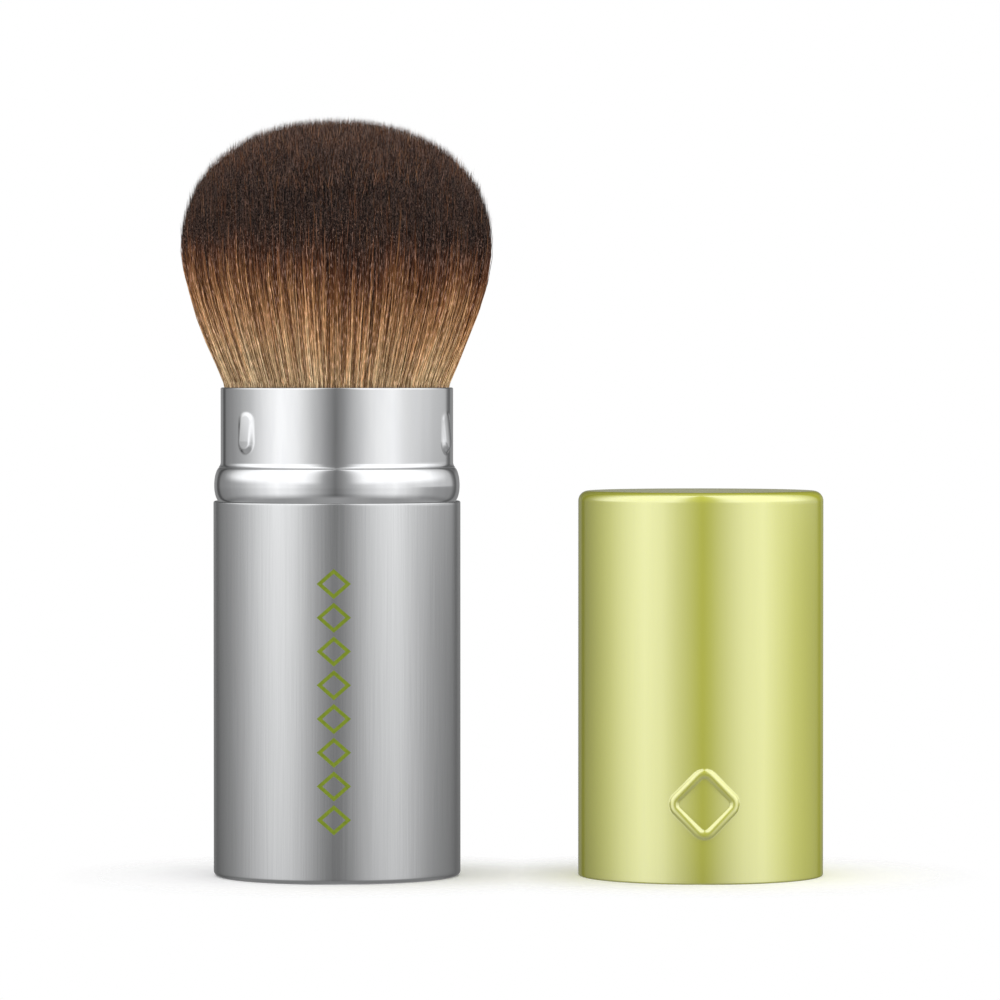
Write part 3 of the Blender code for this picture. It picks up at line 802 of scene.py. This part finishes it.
def make_printed_lozenges(material):
    """Row of printed lozenge outlines, wrapped on the barrel.

    A thin square section is carried round each lozenge, which two triangle waves a quarter apart draw,
    and the distance across becomes a turn.
    """
    pitch = (PRINT_HIGH - PRINT_LOW) / PRINT_COUNT
    half_height = (pitch - PRINT_GAP) / 2
    share = np.arange(4 * PRINT_SIDE_STEPS) / PRINT_SIDE_STEPS
    wave = 1 - np.abs((share + 1) % 4 - 2)
    other_wave = 1 - np.abs(share % 4 - 2)
    side_distance = PRINT_HALF_WIDTH * half_height / math.hypot(PRINT_HALF_WIDTH, half_height)
    stroke_share = PRINT_STROKE / (2 * side_distance)
    scale = 1 + stroke_share * np.array([1, 1, -1, -1])
    radius = BARREL_RADIUS + np.array([INK_PROUD, -INK_SUNK, -INK_SUNK, INK_PROUD])
    turn = PRINT_HALF_WIDTH * wave[:, None] * scale / BARREL_RADIUS
    up = half_height * other_wave[:, None] * scale
    ring = np.stack([radius * np.sin(turn), -radius * np.cos(turn), up], axis=-1)
    shift = np.zeros((PRINT_COUNT, 1, 1, 3))
    shift[:, 0, 0, 2] = PRINT_LOW + pitch * (np.arange(PRINT_COUNT) + 0.5)
    points = (ring[None] + shift).reshape(-1, 3)
    one = grid_faces(len(share), 4, rows_close=True)
    starts = np.arange(PRINT_COUNT) * ring.shape[0] * ring.shape[1]
    faces = (one[None] + starts[:, None, None]).reshape(-1, 4)
    return make_piece("printed_lozenges", points, [faces], "handle", material, smooth=False)


def hair_radius(height):
    """Outside radius of the tuft over its height.

    It is a narrow cone inside the collar, then one cubic that leaves the rim at the slope RIM_LEAN and
    stands upright at WIDEST_HEIGHT.
    """
    rise = TUFT_RADIUS - RIM_HAIR_RADIUS
    lean = RIM_LEAN * (WIDEST_HEIGHT - COLLAR_RIM)
    share = np.clip((height - COLLAR_RIM) / (WIDEST_HEIGHT - COLLAR_RIM), 0, 1)
    spread = share * (lean + share * ((3 * rise - 2 * lean) + share * (lean - 2 * rise)))
    below = np.clip((height - TUFT_ROOT) / (COLLAR_RIM - TUFT_ROOT), 0, 1)
    return ROOT_RADIUS + (RIM_HAIR_RADIUS - ROOT_RADIUS) * below + spread


def dome_height(share):
    """Height of the trimmed dome over a share of the full radius: a flattened ellipse."""
    return WIDEST_HEIGHT + DOME_RISE * (1 - share**DOME_POWER) ** (1 / DOME_POWER)


def dye_level(height, turn):
    """Height in the dye bath as a share of the tuft: the edge of the dark dye runs higher on the left."""
    dip = sum(size * np.sin(number * turn + phase) for size, number, phase in DYE_DIPS)
    dip -= DYE_RISE_AT_SIDES * np.sin(turn) ** 2
    return (height + dip - TUFT_ROOT) / (TUFT_TOP - TUFT_ROOT)


def make_strands(draw, count, shares, rings, length, splay, reach, faded_share, faded_dye):
    """Middle lines, turns, widths and map places of hairs spread evenly over a ring of the tuft.

    A hair keeps its share of the tuft's radius as it rises, which makes the hairs fan out together. It
    is drawn to its clump, bent by two slow waves, leans a little on its own, more sideways than outwards,
    and ends within its reach of the dome. Faded hairs took less dye, so they stay brown up to the tip;
    the tips of the others are painted paler: painted light, for light shining through the fine tips.
    """
    share = np.sqrt(draw.uniform(shares[0] ** 2, shares[1] ** 2, count))
    turn = draw.uniform(0, FULL_TURN, count)
    tip = dome_height(share) + draw.uniform(*reach, count)
    foot = np.full(count, TUFT_ROOT) if length is None else tip - length
    step = np.linspace(0, 1, rings)
    height = foot[:, None] + (tip - foot)[:, None] * step
    spacing = FULL_TURN / CLUMP_COUNT
    clump = np.floor(turn / spacing).astype(int) % CLUMP_COUNT
    clump_turn = (clump + draw.uniform(*CLUMP_MIDDLES, CLUMP_COUNT)[clump]) * spacing
    drawn_in = np.clip((height - CLUMP_START) / CLUMP_RISE, 0, 1) * CLUMP_PULL * share[:, None]
    bent_turn = turn[:, None] + (clump_turn - turn)[:, None] * drawn_in
    radius = share[:, None] * hair_radius(height)
    line = np.stack([radius * np.sin(bent_turn), -radius * np.cos(bent_turn), height], axis=-1)
    lean = draw.normal(0, 1, (2, count, 1, 1)) * np.reshape(splay, (2, 1, 1, 1)) * (step**2)[:, None]
    outward = np.stack([np.sin(turn), -np.cos(turn)], axis=-1)[:, None]
    sideways = np.stack([np.cos(turn), np.sin(turn)], axis=-1)[:, None]
    phase = draw.uniform(0, FULL_TURN, (count, 1, 2))
    wave = WAVE * np.sin(FULL_TURN * height[..., None] / WAVE_LENGTH + phase) * step[:, None]
    line[..., :2] += lean[0] * outward + lean[1] * sideways + wave
    to_tip = (tip[:, None] - height) / TAPER_LENGTH
    taper = TIP_RADIUS_SHARE + (1 - TIP_RADIUS_SHARE) * np.sqrt(np.clip(to_tip, 0, 1))
    scatter = draw.normal(0, STRAND_RADIUS_SCATTER, count).clip(*STRAND_RADIUS_LIMITS)
    width = STRAND_RADIUS * (1 + scatter)[:, None] * taper
    clump_tone = draw.uniform(0, 1, CLUMP_COUNT)[clump]
    own_tone = draw.beta(TONE_SPREAD, TONE_SPREAD, count)
    mixed_tone = CLUMP_TONE_SHARE * clump_tone + (1 - CLUMP_TONE_SHARE) * own_tone
    tone = HAIR_TONES[0] + (HAIR_TONES[1] - HAIR_TONES[0]) * mixed_tone
    dye = dye_level(height + draw.normal(0, DYE_SCATTER, count)[:, None], turn[:, None])
    faded = draw.uniform(0, 1, (count, 1)) < faded_share
    deepest = np.where(faded, draw.uniform(*faded_dye, (count, 1)), DARKEST_DYE)
    dye = np.minimum(dye, deepest)
    # Painted light: unfaded tips get the paler dye levels above DARKEST_DYE.
    dye[:, -1] = np.where(faded[:, 0], dye[:, -1], draw.uniform(DARKEST_DYE, 1, count))
    spin = draw.uniform(0, FULL_TURN, count)
    return {"line": line, "turn": turn, "width": width, "tone": tone, "dye": dye, "spin": spin}


def tube_parts(strands, chosen):
    """Points, faces and map places of three-sided tubes round the chosen middle lines.

    Each ring is a level triangle; the last point of a line is the hair's tip, and the first ring is
    closed by a triangle.
    """
    line, width = strands["line"][chosen], strands["width"][chosen]
    tone, dye, spin = strands["tone"][chosen], strands["dye"][chosen], strands["spin"][chosen]
    count, rings = line.shape[0], line.shape[1] - 1
    angle = spin[:, None] + np.arange(3) * FULL_TURN / 3
    around = np.stack([np.cos(angle), np.sin(angle), 0 * angle], axis=-1)
    ring_points = line[:, :-1, None] + width[:, :-1, None, None] * around[:, None]
    points = np.concatenate([ring_points.reshape(count, -1, 3), line[:, -1:]], axis=1)
    side = np.arange(3)
    row, column = (a.ravel() for a in np.meshgrid(np.arange(rings - 1), side, indexing="ij"))
    after = (column + 1) % 3
    quads = np.stack([row * 3 + column, row * 3 + after, row * 3 + 3 + after, row * 3 + 3 + column], axis=-1)
    quad_side = np.stack([column, column + 1, column + 1, column], axis=-1)
    quad_ring = np.stack([row, row, row + 1, row + 1], axis=-1)
    last = (rings - 1) * 3
    tip_faces = np.stack([last + side, last + (side + 1) % 3, np.full(3, rings * 3)], axis=-1)
    tip_side = np.stack([side, side + 1, side + 0.5], axis=-1)
    tip_ring = np.array([[rings - 1, rings - 1, rings]] * 3)
    triangles = np.concatenate([tip_faces, [[0, 2, 1]]])
    triangle_side = np.concatenate([tip_side, [[0, 2, 1]]])
    triangle_ring = np.concatenate([tip_ring, [[0, 0, 1]]])
    starts = (np.arange(count) * points.shape[1])[:, None, None]

    def placed(sides, ring_numbers):
        u = tone[:, None, None] + (sides / 3 - 0.5) * TONE_WIDTH
        return np.stack([u, dye[:, ring_numbers]], axis=-1).reshape(-1, sides.shape[1], 2)

    return (
        points.reshape(-1, 3),
        [(quads + starts).reshape(-1, 4), (triangles + starts).reshape(-1, 3)],
        [placed(quad_side, quad_ring), placed(triangle_side, triangle_ring)],
    )


def core_parts(first_turn):
    """Closed wedge of packed hair under the strands: a profile carried over one wedge's turns.

    Its side follows the flank at CORE_SHARE of the radius, its top is the dome lowered by CORE_DEPTH,
    and two flat walls close it towards its neighbours.
    """
    top_shares = np.linspace(CORE_SHARE, CORE_INNERMOST_SHARE, CORE_TOP_ROWS)
    side_heights = even_line(TUFT_ROOT, dome_height(CORE_SHARE) - CORE_DEPTH, CORE_SIDE_ROWS)
    side = np.stack([CORE_SHARE * hair_radius(side_heights), side_heights], axis=-1)
    top = np.stack([top_shares * TUFT_RADIUS, dome_height(top_shares) - CORE_DEPTH], axis=-1)
    bottom = even_line((POLE_RING, TUFT_ROOT), side[0], CORE_FOOT_ROWS)
    profile = np.concatenate([bottom, side, top])
    grid = carried_round(profile, first_turn + np.linspace(0, WEDGE_ANGLE, CORE_COLUMNS))
    rows, columns = grid.shape[:2]
    foot_pole, top_pole = rows * columns, rows * columns + 1
    poles = [(0, 0, TUFT_ROOT), (0, 0, dome_height(0.0) - CORE_DEPTH)]
    points = np.concatenate([grid.reshape(-1, 3), poles])
    first_row = np.arange(columns)
    last_row = first_row + (rows - 1) * columns
    foot_poles = np.full(columns - 1, foot_pole)
    top_poles = np.full(columns - 1, top_pole)
    foot_fan = np.stack([foot_poles, first_row[1:], first_row[:-1]], axis=-1)
    top_fan = np.stack([last_row[:-1], last_row[1:], top_poles], axis=-1)
    fans = np.concatenate([foot_fan, top_fan])
    edge = np.arange(rows) * columns
    first_wall = [foot_pole, *edge, top_pole]
    last_wall = [top_pole, *(edge + columns - 1)[::-1], foot_pole]
    walls = np.array([first_wall, last_wall])
    quads = grid_faces(rows, columns, columns_close=False)
    level = dye_level(points[:, 2], first_turn)
    share_across = np.concatenate([np.tile(np.linspace(0, 1, columns), rows), [0.5, 0.5]])
    share_out = np.hypot(points[:, 0], points[:, 1]) / TUFT_RADIUS

    def mapped(share):
        return np.stack([CORE_TONES[0] + (CORE_TONES[1] - CORE_TONES[0]) * share, level], axis=-1)

    surface, wall = mapped(share_across), mapped(share_out)
    return points, [quads, fans, walls], [surface[quads], surface[fans], wall[walls]]


def make_hair(material):
    """Tuft in wedges, each of them hairs over a closed core.
    """
    draw = np.random.default_rng(HAIR_SEED)
    even = (SPLAY, TIP_REACH, FADED_SHARE, FADED_DYE)
    stray = (STRAY_SPLAY, STRAY_REACH, STRAY_FADED_SHARE, STRAY_DYE)
    long_hair = make_strands(draw, LONG_COUNT, LONG_SHARES, LONG_RINGS, None, *even)
    short_hair = make_strands(draw, SHORT_COUNT, SHORT_SHARES, SHORT_RINGS, SHORT_LENGTH, *even)
    stray_hair = make_strands(draw, STRAY_COUNT, STRAY_SHARES, STRAY_RINGS, SHORT_LENGTH, *stray)
    for wedge in range(WEDGE_COUNT):
        first_turn = wedge * WEDGE_ANGLE
        parts = [core_parts(first_turn)]
        for strands in (long_hair, short_hair, stray_hair):
            chosen = np.floor(strands["turn"] / WEDGE_ANGLE).astype(int) == wedge
            parts.append(tube_parts(strands, chosen))
        starts = np.cumsum([0] + [len(part[0]) for part in parts])
        points = np.concatenate([part[0] for part in parts])
        faces = [group + start for part, start in zip(parts, starts) for group in part[1]]
        maps = [group for part in parts for group in part[2]]
        piece = make_piece(
            f"hair_{wedge + 1:02d}",
            points,
            faces,
            "handle",
            material,
            ["bristles"],
            maps=maps,
        )
        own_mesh(piece)


# Pale floor
FLOOR_RADIUS = 150 * MM
FLOOR_SOLID = 18 * MM
FLOOR_FADE = 22 * MM
FLOOR_RINGS = 80
FLOOR_COLUMNS = 128


def make_floor():
    """Plain pale floor: a disc whose cover fades with the distance from the nearer of the two axes."""
    rings = np.linspace(0, FLOOR_RADIUS, FLOOR_RINGS)[1:]
    middle_x = CAP_AXIS_X / 2
    grid = carried_round(np.stack([rings, 0 * rings], axis=-1), even_turns(FLOOR_COLUMNS))
    grid[..., 0] += middle_x
    points = np.concatenate([grid.reshape(-1, 3), [(middle_x, 0, 0)]])
    ring = np.arange(FLOOR_COLUMNS)
    fan = np.stack([ring, np.roll(ring, -1), np.full(FLOOR_COLUMNS, len(points) - 1)], axis=-1)
    mesh = new_mesh("pale_floor", points, [grid_faces(len(rings), FLOOR_COLUMNS)[:, ::-1], fan])
    to_brush = np.hypot(points[:, 0], points[:, 1])
    to_cap = np.hypot(points[:, 0] - CAP_AXIS_X, points[:, 1])
    cover = 1 - np.clip((np.minimum(to_brush, to_cap) - FLOOR_SOLID) / FLOOR_FADE, 0, 1)
    attribute = mesh.attributes.new("cover", "FLOAT", "POINT")
    attribute.data.foreach_set("value", smooth_step(cover).astype(np.float32))
    material, tree, shader = new_material("pale_floor")
    finish_shader(tree, shader, WHITE, 1.0, Specular_IOR_Level=0.0)
    fade = add_node(tree, "ShaderNodeAttribute", attribute_name="cover").outputs["Fac"]
    tree.links.new(fade, shader.inputs["Alpha"])
    mesh.materials.append(material)
    new_object("pale_floor", mesh)


# Brightness of the studio's walls by turn in degrees from the camera's side
STUDIO_WALLS = [
    (-180, 0.30),
    (-156, 0.28),
    (-151, 0.09),
    (-146, 0.10),
    (-141, 0.24),
    (-125, 0.31),
    (-111, 0.41),
    (-97, 0.57),
    (-75, 0.95),
    (-56, 1.22),
    (-39, 1.06),
    (-23, 0.64),
    (-8, 0.33),
    (0, 0.185),
    (7, 0.29),
    (17, 0.52),
    (30, 0.81),
    (41, 1.00),
    (59, 1.13),
    (78, 0.78),
    (97, 0.48),
    (113, 0.38),
    (129, 0.34),
    (139, 0.30),
    (145, 0.18),
    (151, 0.12),
    (156, 0.28),
    (180, 0.30),
]
CEILING = 1.3
FILL = (0.90, 0.90, 0.90, 1.0)
FILL_SHARE = 0.8
TABLE = (0.27, 0.27, 0.27, 1.0)

# Changes in the studio by turn in degrees: where each starts and ends, and its values there
RIGHT_STARTS = (70, 108, 0.0, 1.0)
RIGHT_ENDS = (136, 146, 1.0, 0.0)
BESIDE_CAMERA = (9, 34, 0.0, 1.0)
BEFORE_CORNERS = (95, 140, 1.0, 0.0)
BACK_STARTS = (140, 166, 0.0, 1.0)
STRAIGHT_BEHIND = (175.9, 178.2, 0.0, 1.0)

# Changes in the studio by rise, which is the sine of the angle above level
WALL_DIMS = (-0.09, -0.01, 0.90, 1.0)
WALL_DIMS_MORE = (-0.45, -0.24, 0.70, 1.0)
TABLE_ENDS = (-0.62, -0.36, 1.0, 0.0)
RIGHT_LIFTS = (-0.028, -0.012, 0.0, 0.75)
BACK_DIMS = (0.04, 0.20, 0.0, 0.6)
CEILING_STARTS = (0.04, 0.22, 0.0, 1.0)
OVERHEAD_STARTS = (0.70, 0.92, 0.0, 1.0)
BACKDROP_ENDS = (0.0, 0.015, 1.0, 0.0)

# Change overhead by depth, which is positive away from the camera's side
OVERHEAD_DIMS = (-0.25, 0.05, 1.0, 0.15)


def make_studio_light():
    """Soft studio light from the world alone: nothing in it depends on where the camera stands.

    The studio has two broad soft boxes in front with a dim gap between them, dim corners at the back,
    a right wall that is brighter above the table's level, a bright soft ceiling and a pale table that
    is dimmer towards its edge. The camera and glass see a white backdrop of strength 1 everywhere, and
    metal sees it where it stands, straight behind.
    """
    world = bpy.data.worlds.new("soft_studio")
    world.use_nodes = True
    tree = world.node_tree
    tree.nodes.clear()

    def eased(value, change):
        start, end, low, high = change
        return ranged(tree, value, low, high, (start, end), "SMOOTHSTEP")

    def eased_turn(value, change):
        start, end, low, high = change
        return eased(value, (math.radians(start), math.radians(end), low, high))

    def times(first, second):
        return combined(tree, "MULTIPLY", first, second)

    def largest(first, second):
        return combined(tree, "MAXIMUM", first, second)

    direction = add_node(tree, "ShaderNodeTexCoord").outputs["Generated"]
    split = add_node(tree, "ShaderNodeSeparateXYZ", {"Vector": direction})
    side, depth, rise = (split.outputs[axis] for axis in "XYZ")
    turn = combined(tree, "ARCTAN2", side, times(depth, -1.0))
    away = combined(tree, "ABSOLUTE", turn)
    share = combined(tree, "MULTIPLY_ADD", turn, 1 / FULL_TURN, 0.5)
    stops = [((t + 180) / 360, (v / CEILING, v / CEILING, v / CEILING, 1.0)) for t, v in STUDIO_WALLS]
    walls = add_node(tree, "ShaderNodeValToRGB", {"Fac": share}, stops=stops).outputs["Color"]
    falling = times(eased(rise, WALL_DIMS), eased(rise, WALL_DIMS_MORE))
    on_right = times(eased_turn(turn, RIGHT_STARTS), eased_turn(turn, RIGHT_ENDS))
    right_lift = combined(tree, "MULTIPLY_ADD", on_right, eased(rise, RIGHT_LIFTS), 1.0)
    back_dim = times(eased_turn(away, BACK_STARTS), eased(rise, BACK_DIMS))
    shade = times(times(falling, combined(tree, "SUBTRACT", 1.0, back_dim)), right_lift)
    low_part = blended(tree, "MULTIPLY", 1.0, walls, shade)
    low_part = blended(tree, "MIX", eased(rise, TABLE_ENDS), low_part, TABLE)
    low_ceiling = times(eased(rise, CEILING_STARTS), eased_turn(away, BEFORE_CORNERS))
    overhead = times(eased(rise, OVERHEAD_STARTS), eased(depth, OVERHEAD_DIMS))
    ceiling = times(largest(low_ceiling, overhead), eased_turn(away, BESIDE_CAMERA))
    studio = blended(tree, "MIX", ceiling, low_part, WHITE)
    path = add_node(tree, "ShaderNodeLightPath").outputs
    spread = blended(tree, "MIX", times(path["Is Diffuse Ray"], FILL_SHARE), studio, FILL)
    lit = add_node(tree, "ShaderNodeBackground", {"Color": spread, "Strength": CEILING}).outputs[0]
    white = add_node(tree, "ShaderNodeBackground", {"Color": WHITE, "Strength": 1.0}).outputs[0]
    behind = times(eased_turn(away, STRAIGHT_BEHIND), eased(rise, BACKDROP_ENDS))
    in_metal = times(path["Is Glossy Ray"], behind)
    backdrop = largest(largest(path["Is Camera Ray"], path["Is Transmission Ray"]), in_metal)
    mixed = add_node(tree, "ShaderNodeMixShader", {0: backdrop, 1: lit, 2: white}).outputs[0]
    add_node(tree, "ShaderNodeOutputWorld", {"Surface": mixed})
    bpy.context.scene.world = world


# Camera
CAMERA_DISTANCE = 850 * MM
CAMERA_HEIGHT = 70 * MM
CAMERA_CLIP = (0.01, 10.0)
VIEW_CENTRE = Vector((22.45 * MM, 0.0, 51.7 * MM))
FRAME_WIDTH = 137.74 * MM
SENSOR_WIDTH = 36.0


def make_camera():
    """Camera at the photograph's place: level with the collar, looking along +Y with a long lens."""
    data = bpy.data.cameras.new("camera")
    data.sensor_width = SENSOR_WIDTH
    place = Vector((VIEW_CENTRE.x, -CAMERA_DISTANCE, CAMERA_HEIGHT))
    data.lens = SENSOR_WIDTH * (VIEW_CENTRE - place).length / FRAME_WIDTH
    data.clip_start, data.clip_end = CAMERA_CLIP
    camera = new_object("camera", data)
    camera.location = place
    camera.rotation_euler = (VIEW_CENTRE - place).to_track_quat("-Z", "Y").to_euler()
    bpy.context.scene.camera = camera


# Materials that several pieces share
polished = make_polished_aluminium()
zinc_plated = make_zinc_plated_steel()
polypropylene = make_moulded_plastic("moulded_polypropylene", "E3E2DC", "ECEBE6", smoothest=0.42)

make_barrel(make_brushed_aluminium())
make_collar(polished)
make_cap(make_lime_anodised_aluminium())
make_printed_lozenges(make_pad_printed_ink())
make_hair(make_synthetic_fibre())

# Inner pieces, shown as the CAD has them
KEPT_NODES = {
    "base_plug": polypropylene,
    "base_weight": zinc_plated,
    "core_post": polypropylene,
    "post_head": polypropylene,
    "ferrule_cup": polished,
    "ferrule_screw": zinc_plated,
    "knot_resin": make_cast_epoxy(),
    "slide_ring": make_moulded_plastic("moulded_acetal", "EFEEE7", "F5F4EF", smoothest=0.3),
    "drag_ring": make_silicone_rubber(),
}
for node_name, node_material in KEPT_NODES.items():
    for material_slot in frame["nodes"][node_name].material_slots:
        material_slot.material = node_material

make_floor()
# Each item was lit on its own, so nothing shows in another piece's metal but the studio.
for piece in bpy.context.scene.objects:
    piece.visible_glossy = False
make_studio_light()
make_camera()
bpy.context.scene.view_settings.view_transform = "Standard"
